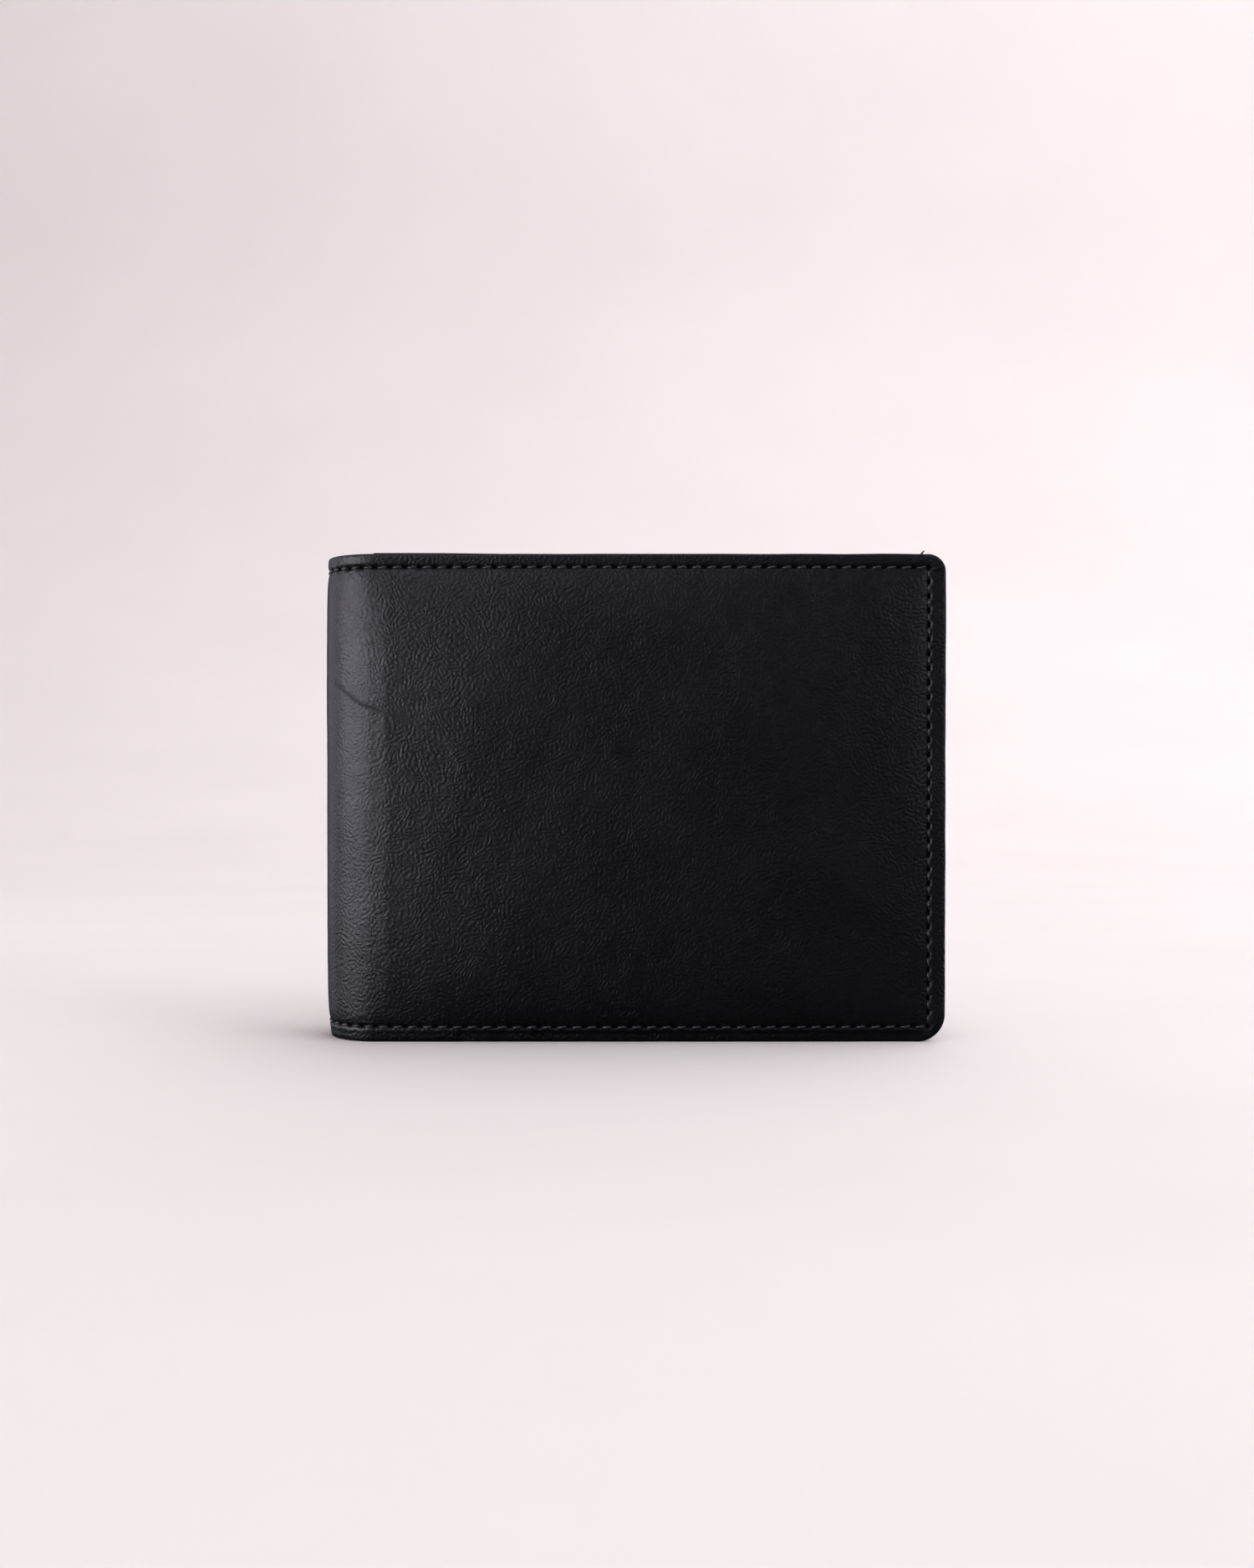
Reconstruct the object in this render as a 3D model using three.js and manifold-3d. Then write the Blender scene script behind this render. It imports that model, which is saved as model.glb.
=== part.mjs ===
// A black leather bifold wallet, folded shut and standing on its long edge. Millimetres, +Z up.
// X runs from the spine (-X) to the free edges (+X), Y from the front half (-Y) to the rear half (+Y),
// and the origin is on the surface it stands on, under the middle of the closed wallet.
//
// Each half is a flat sandwich: cover, stiffener, cover lining, the bill compartment, the compartment's
// inner wall (lining and leather facing), a slip pocket and four stepped card slots.
// The layers that cross the fold are cut into three strips round the spine, one for each rigid spine body.
import * as THREE from 'three';
import { mergeVertices } from 'three/addons/utils/BufferGeometryUtils.js';
import Module from 'manifold-3d';

const wasm = await Module();
wasm.setup();

// ---- Driving dimensions ----
const WIDTH = 112;
const HEIGHT = 87;
const THICKNESS = 20;
const CORNER_RADIUS = 3.4; // free corners of the cover
const SPINE_STRIPS = 3; // rigid strips round the fold, between the two halves

const COVER_SKIN = 0.9; // one ply of leather
const HEM_WIDTH = 7; // width of the turned edge, folded in behind the skin
const LINING_INSET = 1.2; // how far the inner layers stop short of the cover's edges
const INNER_WALL_TOP = 84; // the bill compartment's inner wall ends below the cover
const FACING_BAND = 20; // height of the leather band along the top of the inner wall
const FACING_TUCK_X = -38; // how far the centre leather runs in under the pocket block
const POCKET_START_X = -48; // spine-side edge of the pocket block
const SLIP_TOP = 80;

const CARD_SLOTS = 4;
const SLOT_TOP = 76; // top edge of the highest card slot
const SLOT_STEP = 10;
const SLOT_BAND = 14; // leather part of a slot; a thin lining tail hangs below it
const SLOT_DEPTH = 54; // from a slot's top edge down to the end of its tail: one card's height
const TAIL = 0.3; // thickness of the tail

// Layers from the outer face inwards: thickness, then the gap before the next one.
const LAYERS = {
  cover: { thick: 1.75, gap: 0.05 },
  cover_lining: { thick: 0.25, gap: 0.55 }, // the gap is the empty bill compartment
  inner_lining: { thick: 0.3, gap: 0.05 },
  inner_facing: { thick: 0.4, gap: 0.25 }, // the gap is the slip pocket
  slip_panel: { thick: 0.4, gap: 0.25 },
};
for (let slot = 1; slot <= CARD_SLOTS; slot++) LAYERS[`card_slot_${slot}`] = { thick: 0.8, gap: 0.25 };

const STIFFENER_GAP = 0.05; // round the faces of the stiffener, inside the turned edge
const STIFFENER_CLEAR = 0.3; // round its rim
const MITRE_GAP = 0.7; // between neighbouring strips of the fold, so that they can swing flat

// ---- Values worked out from them ----
const FOLD_RADIUS = THICKNESS / 2;
const FOLD_X = -WIDTH / 2 + FOLD_RADIUS; // centre of the fold's round
const FREE_X = WIDTH / 2;
const BEND = Math.PI / (SPINE_STRIPS + 1); // turn at each hinge
const CURVE_SEGMENTS = 8;
const BEYOND = 30; // how far cutting tools reach past the part

let reach = FOLD_RADIUS;
for (const layer of Object.values(LAYERS)) {
  layer.outer = reach; // distance of the layer's faces from the mid-plane
  layer.inner = reach - layer.thick;
  reach = layer.inner - layer.gap;
}

// ---- Materials ----
const leather = new THREE.MeshStandardMaterial({ color: 0x17171b, roughness: 0.48, metalness: 0 });
const lining = new THREE.MeshStandardMaterial({ color: 0x141416, roughness: 0.75, metalness: 0 });
const board = new THREE.MeshStandardMaterial({ color: 0x6d5a48, roughness: 0.9, metalness: 0 });

// ---- Solids ----
// manifold-3d solid of a closed three.js geometry.
function solid(geometry) {
  const bare = geometry.index ? geometry.toNonIndexed() : geometry.clone();
  bare.deleteAttribute('normal');
  bare.deleteAttribute('uv');
  const merged = mergeVertices(bare, 1e-4);
  return new wasm.Manifold(
    new wasm.Mesh({
      numProp: 3,
      vertProperties: merged.attributes.position.array,
      triVerts: new Uint32Array(merged.index.array),
    }),
  );
}

// three.js geometry of a manifold-3d solid.
function geometryOf(made) {
  const mesh = made.getMesh();
  const geometry = new THREE.BufferGeometry();
  geometry.setAttribute('position', new THREE.BufferAttribute(mesh.vertProperties, 3));
  geometry.setIndex(new THREE.BufferAttribute(mesh.triVerts, 1));
  geometry.computeVertexNormals();
  return geometry;
}

// Outline in X and Z from the spine side to the free edge, with rounded free corners.
function panelOutline(left, bottom, right, top, bottomRadius, topRadius) {
  const shape = new THREE.Shape();
  shape.moveTo(left, bottom);
  shape.lineTo(right - bottomRadius, bottom);
  if (bottomRadius) {
    shape.absarc(right - bottomRadius, bottom + bottomRadius, bottomRadius, -Math.PI / 2, 0);
  }
  shape.lineTo(right, top - topRadius);
  if (topRadius) {
    shape.absarc(right - topRadius, top - topRadius, topRadius, 0, Math.PI / 2);
  }
  shape.lineTo(left, top);
  shape.closePath();
  return shape;
}

// Plate of an X-Z outline between two distances from the mid-plane, on the rear side.
function plate(outline, inner, outer) {
  const geometry = new THREE.ExtrudeGeometry(outline, {
    depth: outer - inner,
    bevelEnabled: false,
    curveSegments: CURVE_SEGMENTS,
  });
  return geometry.rotateX(Math.PI / 2).translate(0, outer, 0);
}

// Box between two corners.
function boxBetween(low, high) {
  const size = high.map((value, axis) => value - low[axis]);
  const centre = high.map((value, axis) => (value + low[axis]) / 2);
  return new THREE.BoxGeometry(...size).translate(...centre);
}

// Half the length of a straight strip at a distance from the fold's centre, mitred at both ends.
function stripHalf(distance) {
  return distance * Math.tan(BEND / 2) - MITRE_GAP / 2 / Math.cos(BEND / 2);
}

// Everything on a half's side of its mitre plane, used to cut a plate's spine end.
const halfSector = (() => {
  const far = FOLD_RADIUS + BEYOND;
  const shape = new THREE.Shape();
  shape.moveTo(FOLD_X - stripHalf(0), 0);
  shape.lineTo(FREE_X + BEYOND, 0);
  shape.lineTo(FREE_X + BEYOND, far);
  shape.lineTo(FOLD_X - stripHalf(far), far);
  shape.closePath();
  const geometry = new THREE.ExtrudeGeometry(shape, { depth: HEIGHT + 2 * BEYOND, bevelEnabled: false });
  return solid(geometry.translate(0, 0, -BEYOND));
})();

// ---- Pieces of one half, built on the rear side ----
const SPINE_END_X = FOLD_X - FOLD_RADIUS; // plates start here and the mitre cuts them back
const INNER_RADIUS = CORNER_RADIUS - LINING_INSET;
const INNER_RIGHT = FREE_X - LINING_INSET;

function halfCover() {
  const { inner, outer } = LAYERS.cover;
  const outline = panelOutline(SPINE_END_X, 0, FREE_X, HEIGHT, CORNER_RADIUS, CORNER_RADIUS);
  const recess = boxBetween(
    [SPINE_END_X - BEYOND, inner - BEYOND, HEM_WIDTH],
    [FREE_X - HEM_WIDTH, outer - COVER_SKIN, HEIGHT - HEM_WIDTH],
  );
  return geometryOf(solid(plate(outline, inner, outer)).subtract(solid(recess)).intersect(halfSector));
}

function stiffener() {
  const margin = HEM_WIDTH + STIFFENER_CLEAR;
  const { inner, outer } = LAYERS.cover;
  const outline = panelOutline(FOLD_X, margin, FREE_X - margin, HEIGHT - margin, 0, 0);
  return plate(outline, inner + STIFFENER_GAP, outer - COVER_SKIN - STIFFENER_GAP);
}

function halfLayer(name, bottom, top, topRadius) {
  const { inner, outer } = LAYERS[name];
  const outline = panelOutline(SPINE_END_X, bottom, INNER_RIGHT, top, INNER_RADIUS, topRadius);
  return geometryOf(solid(plate(outline, inner, outer)).intersect(halfSector));
}

// Leather of the inner wall: a band along its top, and the centre leather that tucks in under the pockets.
function halfFacing() {
  const { inner, outer } = LAYERS.inner_facing;
  const shape = new THREE.Shape();
  shape.moveTo(SPINE_END_X, LINING_INSET);
  shape.lineTo(FACING_TUCK_X, LINING_INSET);
  shape.lineTo(FACING_TUCK_X, INNER_WALL_TOP - FACING_BAND);
  shape.lineTo(INNER_RIGHT, INNER_WALL_TOP - FACING_BAND);
  shape.lineTo(INNER_RIGHT, INNER_WALL_TOP);
  shape.lineTo(SPINE_END_X, INNER_WALL_TOP);
  shape.closePath();
  return geometryOf(solid(plate(shape, inner, outer)).intersect(halfSector));
}

// Panel of the pocket block, from its spine-side edge to the free edge.
function pocketPanel(name, top) {
  const { inner, outer } = LAYERS[name];
  return plate(panelOutline(POCKET_START_X, LINING_INSET, INNER_RIGHT, top, INNER_RADIUS, 0), inner, outer);
}

// Card slot: a leather band with a thin tail below it. The lowest one is leather down to the seam.
function cardSlot(slot) {
  const name = `card_slot_${slot}`;
  const top = SLOT_TOP - (slot - 1) * SLOT_STEP;
  if (slot === CARD_SLOTS) {
    return pocketPanel(name, top);
  }
  const { inner, outer } = LAYERS[name];
  const profile = new THREE.Shape(); // in Y and Z
  profile.moveTo(outer, top - SLOT_DEPTH);
  profile.lineTo(outer, top);
  profile.lineTo(inner, top);
  profile.lineTo(inner, top - SLOT_BAND);
  profile.lineTo(outer - TAIL, top - SLOT_BAND);
  profile.lineTo(outer - TAIL, top - SLOT_DEPTH);
  profile.closePath();
  const length = INNER_RIGHT - POCKET_START_X;
  const geometry = new THREE.ExtrudeGeometry(profile, { depth: length, bevelEnabled: false });
  // The profile's X, Y and depth become Y, Z and X.
  geometry.rotateY(Math.PI / 2).rotateX(Math.PI / 2);
  return geometry.translate(POCKET_START_X, 0, 0);
}

function half(side) {
  const group = new THREE.Group();
  const add = (name, geometry, material) => {
    const mesh = new THREE.Mesh(geometry, material);
    mesh.name = `${side}_${name}`;
    group.add(mesh);
  };
  add('cover', halfCover(), leather);
  add('stiffener', stiffener(), board);
  add('cover_lining', halfLayer('cover_lining', LINING_INSET, HEIGHT - LINING_INSET, INNER_RADIUS), lining);
  add('inner_lining', halfLayer('inner_lining', LINING_INSET, INNER_WALL_TOP, 0), lining);
  add('inner_facing', halfFacing(), leather);
  add('slip_panel', pocketPanel('slip_panel', SLIP_TOP), lining);
  for (let slot = 1; slot <= CARD_SLOTS; slot++) add(`card_slot_${slot}`, cardSlot(slot), leather);
  if (side === 'front') group.scale.y = -1; // the front half is the rear half's mirror image
  return group;
}

// ---- Strips round the fold, built at the fold's centre facing +Y ----
function stripOf(name, bottom, top) {
  const { inner, outer } = LAYERS[name];
  const shape = new THREE.Shape();
  shape.moveTo(-stripHalf(inner), inner);
  shape.lineTo(stripHalf(inner), inner);
  shape.lineTo(stripHalf(outer), outer);
  shape.lineTo(-stripHalf(outer), outer);
  shape.closePath();
  const geometry = new THREE.ExtrudeGeometry(shape, { depth: top - bottom, bevelEnabled: false });
  return geometry.translate(0, 0, bottom);
}

// Cover leather of a strip, with the turned edge at its top and bottom.
function stripCover() {
  const { inner, outer } = LAYERS.cover;
  const recess = boxBetween([-BEYOND, inner - BEYOND, HEM_WIDTH], [BEYOND, outer - COVER_SKIN, HEIGHT - HEM_WIDTH]);
  return geometryOf(solid(stripOf('cover', 0, HEIGHT)).subtract(solid(recess)));
}

function spineStrip(place, index) {
  const group = new THREE.Group();
  group.position.x = FOLD_X;
  group.rotation.z = index * BEND;
  const pieces = {
    cover: [stripCover(), leather],
    cover_lining: [stripOf('cover_lining', LINING_INSET, HEIGHT - LINING_INSET), lining],
    inner_lining: [stripOf('inner_lining', LINING_INSET, INNER_WALL_TOP), lining],
    inner_facing: [stripOf('inner_facing', LINING_INSET, INNER_WALL_TOP), leather],
  };
  for (const [name, [geometry, material]] of Object.entries(pieces)) {
    const mesh = new THREE.Mesh(geometry, material);
    mesh.name = `spine_${place}_${name}`;
    group.add(mesh);
  }
  return group;
}

const wallet = new THREE.Group();
wallet.add(half('rear'), half('front'));
['rear', 'middle', 'front'].forEach((place, i) => wallet.add(spineStrip(place, i + 1)));

export default wallet;
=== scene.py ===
"""A black leather bifold wallet, folded shut and standing on its long edge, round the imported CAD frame.

The wallet is modelled in the coordinates of its own leather and then wrapped round the fold. All three are in
millimetres: u runs along the outer face, from the rear half's free edge (-) over the middle of the spine (0)
to the front half's free edge (+), z is up, and d is the depth behind the outer face, towards the mid-plane.
"""

import math

import bmesh
import bpy
import numpy as np
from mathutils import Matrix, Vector


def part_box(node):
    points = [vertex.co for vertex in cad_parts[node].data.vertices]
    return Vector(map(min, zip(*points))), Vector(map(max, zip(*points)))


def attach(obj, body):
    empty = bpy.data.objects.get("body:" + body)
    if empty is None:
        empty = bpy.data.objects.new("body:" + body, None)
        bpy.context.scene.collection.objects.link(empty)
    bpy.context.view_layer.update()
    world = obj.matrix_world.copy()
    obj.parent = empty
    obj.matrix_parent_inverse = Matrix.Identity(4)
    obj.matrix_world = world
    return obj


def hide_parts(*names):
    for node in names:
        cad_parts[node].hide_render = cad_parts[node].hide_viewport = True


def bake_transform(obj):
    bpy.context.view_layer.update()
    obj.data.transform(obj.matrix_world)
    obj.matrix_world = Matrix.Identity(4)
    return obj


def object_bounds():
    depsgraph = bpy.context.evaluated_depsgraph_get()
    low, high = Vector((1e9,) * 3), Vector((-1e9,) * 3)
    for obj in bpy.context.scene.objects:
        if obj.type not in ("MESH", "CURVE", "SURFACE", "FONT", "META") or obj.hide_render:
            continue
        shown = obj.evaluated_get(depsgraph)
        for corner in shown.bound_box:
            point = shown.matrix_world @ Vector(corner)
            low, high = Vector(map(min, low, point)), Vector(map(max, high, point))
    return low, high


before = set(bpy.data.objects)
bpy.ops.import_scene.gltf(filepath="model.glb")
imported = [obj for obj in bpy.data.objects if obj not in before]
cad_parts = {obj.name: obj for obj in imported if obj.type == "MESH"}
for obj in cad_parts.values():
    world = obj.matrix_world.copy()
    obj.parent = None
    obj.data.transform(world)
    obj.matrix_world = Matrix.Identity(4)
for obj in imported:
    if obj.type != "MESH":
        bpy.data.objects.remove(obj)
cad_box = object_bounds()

MM = 0.001

# ---- Sizes from the frame, in mm ----


def box_mm(node):
    """The two corners of a node's box."""
    low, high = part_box(node)
    return np.array(low) / MM, np.array(high) / MM


def depths(node):
    """Depth of the two faces of a rear layer behind the outer face of the cover."""
    low, high = box_mm(node)
    return FOLD_R - high[1], FOLD_R - low[1]


WIDTH_LOW, WIDTH_HIGH = cad_box[0][0] / MM, cad_box[1][0] / MM
HEIGHT = cad_box[1][2] / MM
FOLD_R = cad_box[1][1] / MM
FOLD_X = WIDTH_LOW + FOLD_R
HALF_ARC = math.pi / 2 * FOLD_R
U_END = HALF_ARC + WIDTH_HIGH - FOLD_X
BEND_ARC = HALF_ARC / 2  # the outer face's length over one hinge
BENDS = [-BEND_ARC, 0.0, BEND_ARC]  # where the visible layers pass from one spine body to the next
SIGNS = {"rear": -1, "front": 1}  # which way from the middle of the spine each half lies
PLACES = ["rear", "spine_rear", "spine_front", "front"]
COVER_THICK = depths("rear_cover")[1]
GAP = 0.03  # between layers that lie on each other
SKIN = COVER_THICK / 2 + GAP

# ---- Sizes of the visible detail, in mm ----
TOP_CORNER_R, BOTTOM_CORNER_R = 3.2, 5.0
HEM, HEM_END = 7.0, 7.2  # from the edge to where the turned-in leather thins out, and to where it ends
SEAM_IN_FREE, SEAM_IN_TOP, SEAM_IN_BOTTOM = 3.1, 2.45, 2.75  # from each edge to the seam line
STITCH_ALONG, STITCH_UP = 2.65, 2.55  # wanted stitch pitches
CELLS_PER_STITCH = 7
RIM_STEPS = 14
GROOVE = 0.6  # depth that the seam presses into the cover
BOTTOM_ROLL = 0.36  # how far the face draws back where it rolls under
BOTTOM_ROLL_FROM, BOTTOM_ROLL_LONG = 2.35, 0.75
DOME = 2.6  # how far the middle of a half swells out
SWELL_FROM, SWELL_LONG = HALF_ARC - 6.0, 46.0  # the swell starts on the fold and is full this far on
SWELL_EASE = 9.0  # over this length the swell begins softly
EDGE_ROUND = 1.6  # how far in from the outline the edges start to roll over
TOP_SQUARE, SIDE_SQUARE, BOTTOM_SQUARE = 4.2, 2.7, 1.9  # the roll's shape: 2 is an ellipse, more is squarer
SEAM_SQUEEZE = 0.68  # share of their depth that the inner layers keep where they are sewn down
SQUEEZE_FREE, SQUEEZE_BOTTOM, SQUEEZE_END = 3.8, 3.7, 10.0  # as far in as this it is full, and where it ends
THREAD_R = 0.22
SLIT_LONG, SLIT_WIDE, SLIT_DEEP = 0.58, 0.25, 0.75  # half-length, half-width and depth of a needle slit
SEAM_REST = 0.7  # how far a line of slits runs on past its last hole
CREASE_DEEP, CREASE_WIDE = 0.05, 0.36
BRANCH_DEEP, BRANCH_WIDE = 0.04, 0.35
CREASE_SHADE, CREASE_SHADE_WIDE = 0.16, 0.27  # strength and width of the painted shade along the crease, which darkens its colour


# ---- Wrapping ----
def wrap(u, z, d):
    """Points of the frame, in metres, for leather coordinates in mm."""
    u, z, d = np.broadcast_arrays(np.asarray(u, float), np.asarray(z, float), np.asarray(d, float))
    turn = np.clip(u, -HALF_ARC, HALF_ARC) / FOLD_R
    flat = np.maximum(np.abs(u) - HALF_ARC, 0)
    radius = FOLD_R - d
    x = FOLD_X - radius * np.cos(turn) + flat
    y = -radius * np.sin(turn)
    return np.stack([x, y, z], -1) * MM


def smooth(low, high, value):
    """0 up to low, 1 from high on, and a soft step between."""
    t = np.clip((value - low) / (high - low), 0, 1)
    return t * t * (3 - 2 * t)


def squeeze(u, z, d):
    """Depth of an inner layer once it is pressed to the cover along the free edge and the bottom edge."""
    near_free = 1 - smooth(SQUEEZE_FREE, SQUEEZE_END, U_END - np.abs(u))
    near_bottom = 1 - smooth(SQUEEZE_BOTTOM, SQUEEZE_END, z)
    near = np.maximum(near_free, near_bottom)
    share = 1 - (1 - SEAM_SQUEEZE) * near
    return COVER_THICK + GAP + (d - COVER_THICK - GAP) * share


# ---- The seam ----
def stops(start, end, pitch):
    """Evenly spaced places from start to end, about a pitch apart."""
    count = round((end - start) / pitch)
    return np.linspace(start, end, count + 1)


SEAM_U = U_END - SEAM_IN_FREE
SEAM_TOP, SEAM_BOTTOM = HEIGHT - SEAM_IN_TOP, SEAM_IN_BOTTOM
HOLES_U = stops(-SEAM_U, SEAM_U, STITCH_ALONG)
HOLES_Z = stops(SEAM_BOTTOM, SEAM_TOP, STITCH_UP)


def waves(u, z, size, count, seed):
    """Gentle unevenness about 1 high, from a few crossing sine waves, with no pattern that repeats."""
    source = np.random.default_rng(seed)
    total = np.zeros(np.broadcast(u, z).shape)
    for _ in range(count):
        angle, phase = source.uniform(0, 2 * math.pi, 2)
        length = size * source.uniform(0.6, 1.7)
        total = total + np.sin((u * math.cos(angle) + z * math.sin(angle)) * 2 * math.pi / length + phase)
    return total / math.sqrt(count / 2) / 2


def line_distance(u, z, points):
    """Distance from a line of points, in the flat leather."""
    best = np.full(np.broadcast(u, z).shape, 1e9)
    for (u0, z0), (u1, z1) in zip(points, points[1:]):
        du, dz = u1 - u0, z1 - z0
        t = np.clip(((u - u0) * du + (z - z0) * dz) / (du * du + dz * dz), 0, 1)
        best = np.minimum(best, np.hypot(u - u0 - t * du, z - z0 - t * dz))
    return best


def hole_mark(u, z):
    """1 in each needle slit, falling off to 0 round it."""
    def slit(along, across):
        return np.exp(-((along / SLIT_LONG) ** 2 + (across / SLIT_WIDE) ** 2) ** 2.2)

    mark = np.zeros(np.broadcast(u, z).shape)
    step_u, step_z = HOLES_U[1] - HOLES_U[0], HOLES_Z[1] - HOLES_Z[0]
    along = u - HOLES_U[0] - np.round((u - HOLES_U[0]) / step_u) * step_u
    for line in (SEAM_TOP, SEAM_BOTTOM):
        mark = np.maximum(mark, slit(along, z - line) * (np.abs(u) < SEAM_U + SEAM_REST))
    up = z - HOLES_Z[0] - np.round((z - HOLES_Z[0]) / step_z) * step_z
    near = slit(up, np.abs(u) - SEAM_U)
    return np.maximum(mark, near * (z > SEAM_BOTTOM - SEAM_REST) * (z < SEAM_TOP + SEAM_REST))


def seam_distance(u, z):
    """Signed distance from the seam line: more than 0 on the panel, less in the allowance outside it."""
    return np.minimum(np.minimum(SEAM_TOP - z, z - SEAM_BOTTOM), SEAM_U - np.abs(u))


CREASE = [(HALF_ARC - 8, 64), (HALF_ARC - 2, 60.2), (HALF_ARC + 5, 57.7), (HALF_ARC + 9, 55.8),
          (HALF_ARC + 13, 52.5), (HALF_ARC + 15, 49)]
CREASE_BRANCH = [(HALF_ARC + 0.5, 59.4), (HALF_ARC + 8, 59.8), (HALF_ARC + 13, 61.2)]


def crease_shade_mark(u, z):
    """Painted shade along the crease: a darker line in the colour, with rougher leather."""
    return CREASE_SHADE * np.exp(-(line_distance(u, z, CREASE) / CREASE_SHADE_WIDE) ** 2)


def cover_relief(u, z):
    """How far the cover's outer face stands out from the CAD's, in mm."""
    q = seam_distance(u, z)
    panel = np.maximum(q, 0)
    allowance = np.maximum(-q, 0)
    along_top = smooth(0, 1.2, (z - SEAM_TOP) - (np.abs(u) - SEAM_U))
    flat_allowance = 0.65 + 0.35 * np.exp(-(allowance / 0.7) ** 1.5)
    rising_allowance = np.exp(-(allowance / 1.05) ** 1.6)
    recess = flat_allowance + (rising_allowance - flat_allowance) * along_top
    groove = -GROOVE * np.where(q > 0, 0.55 * np.exp(-panel / 1.1) + 0.45 * np.exp(-panel / 5.5), recess)
    bottom_roll = -BOTTOM_ROLL * np.clip((BOTTOM_ROLL_FROM - z) / BOTTOM_ROLL_LONG, 0, 1) ** 2
    swell = 1 - (1 - np.clip((np.abs(u) - SWELL_FROM) / SWELL_LONG, 0, 1)) ** 2.6
    swell = swell * smooth(SWELL_FROM, SWELL_FROM + SWELL_EASE, np.abs(u))
    across = np.clip((np.abs(u) - HALF_ARC) / (U_END - HALF_ARC), 0, 1)
    up = 2 * z / HEIGHT - 1
    dome = DOME * swell * (1 - across**5) * (1 - np.abs(up) ** 5)
    uneven = 0.06 * waves(u, z, 34, 9, 3) + 0.03 * waves(u, z, 11, 12, 4) + 0.012 * waves(u, z, 4.5, 24, 5)
    uneven = uneven * smooth(0, 4, panel)
    crease = -CREASE_DEEP * np.exp(-(line_distance(u, z, CREASE) / CREASE_WIDE) ** 2)
    crease = crease - BRANCH_DEEP * np.exp(-(line_distance(u, z, CREASE_BRANCH) / BRANCH_WIDE) ** 2)
    holes = -SLIT_DEEP * hole_mark(u, z)
    fold_in = -0.16 * np.exp(-((z - (SEAM_TOP - 0.8)) / 0.3) ** 2) * (np.abs(u) > SEAM_U + 0.5)
    return groove + bottom_roll + dome + uneven + crease + holes + fold_in


# ---- Meshes ----
def mesh_piece(name, points, faces, coords, marks):
    """An object from points in metres, with its leather coordinates and marks kept for the materials."""
    mesh = bpy.data.meshes.new(name)
    mesh.from_pydata(points.tolist(), [], faces)
    mesh.update()
    attribute = mesh.attributes.new("leather_mm", "FLOAT_VECTOR", "POINT")
    attribute.data.foreach_set("vector", np.asarray(coords, np.float32).ravel())
    attribute = mesh.attributes.new("mark", "FLOAT", "POINT")
    attribute.data.foreach_set("value", np.asarray(marks, np.float32))
    piece = bpy.data.objects.new(name, mesh)
    bpy.context.scene.collection.objects.link(piece)
    for polygon in mesh.polygons:
        polygon.use_smooth = True
    return piece


class Body:
    """A closed body under construction: leather coordinates, faces and marks."""

    def __init__(self):
        self.rows, self.faces, self.marks = [], [], []
        self.count = 0

    def add(self, u, z, d, mark=0.0):
        """Adds points and returns their numbers."""
        u, z, d, mark = np.broadcast_arrays(*(np.asarray(v, float) for v in (u, z, d, mark)))
        self.rows.append(np.stack([u.ravel(), z.ravel(), d.ravel()], -1))
        self.marks.append(mark.ravel())
        numbers = np.arange(self.count, self.count + u.size).reshape(u.shape)
        self.count += u.size
        return numbers

    def quads(self, grid, mask=None, flip=False):
        """Faces over a grid of point numbers; mask says which cells have one."""
        a, b, c, d = grid[:-1, :-1], grid[1:, :-1], grid[1:, 1:], grid[:-1, 1:]
        cells = np.stack([a, b, c, d] if not flip else [a, d, c, b], -1).reshape(-1, 4)
        if mask is not None:
            cells = cells[mask.ravel()]
        self.faces += cells.tolist()

    def band(self, first, second):
        """Faces between two closed loops of the same number of points."""
        cells = np.stack([first, second, np.roll(second, -1), np.roll(first, -1)], -1)
        self.faces += cells.tolist()

    def arrays(self):
        return np.concatenate(self.rows), np.concatenate(self.marks)


def vertex_normals(points, faces):
    """Area-weighted normals of the points of a mesh of triangles, quads and larger faces."""
    normals = np.zeros_like(points)
    for size in {len(f) for f in faces}:
        group = np.array([f for f in faces if len(f) == size])
        corner = points[group]
        area = np.zeros((len(group), 3))
        for k in range(1, size - 1):
            area += np.cross(corner[:, k] - corner[:, 0], corner[:, k + 1] - corner[:, 0])
        for k in range(size):
            np.add.at(normals, group[:, k], area)
    length = np.linalg.norm(normals, axis=1)
    return normals / np.maximum(length, 1e-20)[:, None]


def split_at_bends(layer_name, body, material):
    """Cuts a layer that crosses the fold into one piece for each hinge and closes the cuts."""
    replaced = [[f"rear_{layer_name}"], [f"spine_rear_{layer_name}"], [f"spine_middle_{layer_name}"],
                [f"spine_front_{layer_name}", f"front_{layer_name}"]]
    coords, marks = body.arrays()
    points = wrap(*coords.T)
    normals = vertex_normals(points, body.faces)
    middle = np.array([coords[f, 0].mean() for f in body.faces])
    section = np.searchsorted(BENDS, middle)
    pieces = []
    for k, place in enumerate(PLACES):
        own = [body.faces[i] for i in np.flatnonzero(section == k)]
        used = np.unique(np.concatenate([np.array(f) for f in own]))
        renumber = np.full(len(coords), -1)
        renumber[used] = np.arange(len(used))
        faces = [[int(renumber[v]) for v in f] for f in own]
        piece = mesh_piece(f"{layer_name}_{place}", points[used], faces, coords[used], marks[used])
        close_cuts(piece, normals[used])
        piece.data.materials.append(material)
        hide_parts(*replaced[k])
        blend_over_bend(piece, k)
        pieces.append(piece)
    return pieces


def blend_over_bend(piece, k):
    """Bakes a piece's place into its mesh; the ends of the hinge it lies over are worked out but not used."""
    start_u = k * BEND_ARC - HALF_ARC
    start, end = wrap(start_u, 0, 0), wrap(start_u + BEND_ARC, 0, 0)
    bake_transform(piece)


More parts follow.
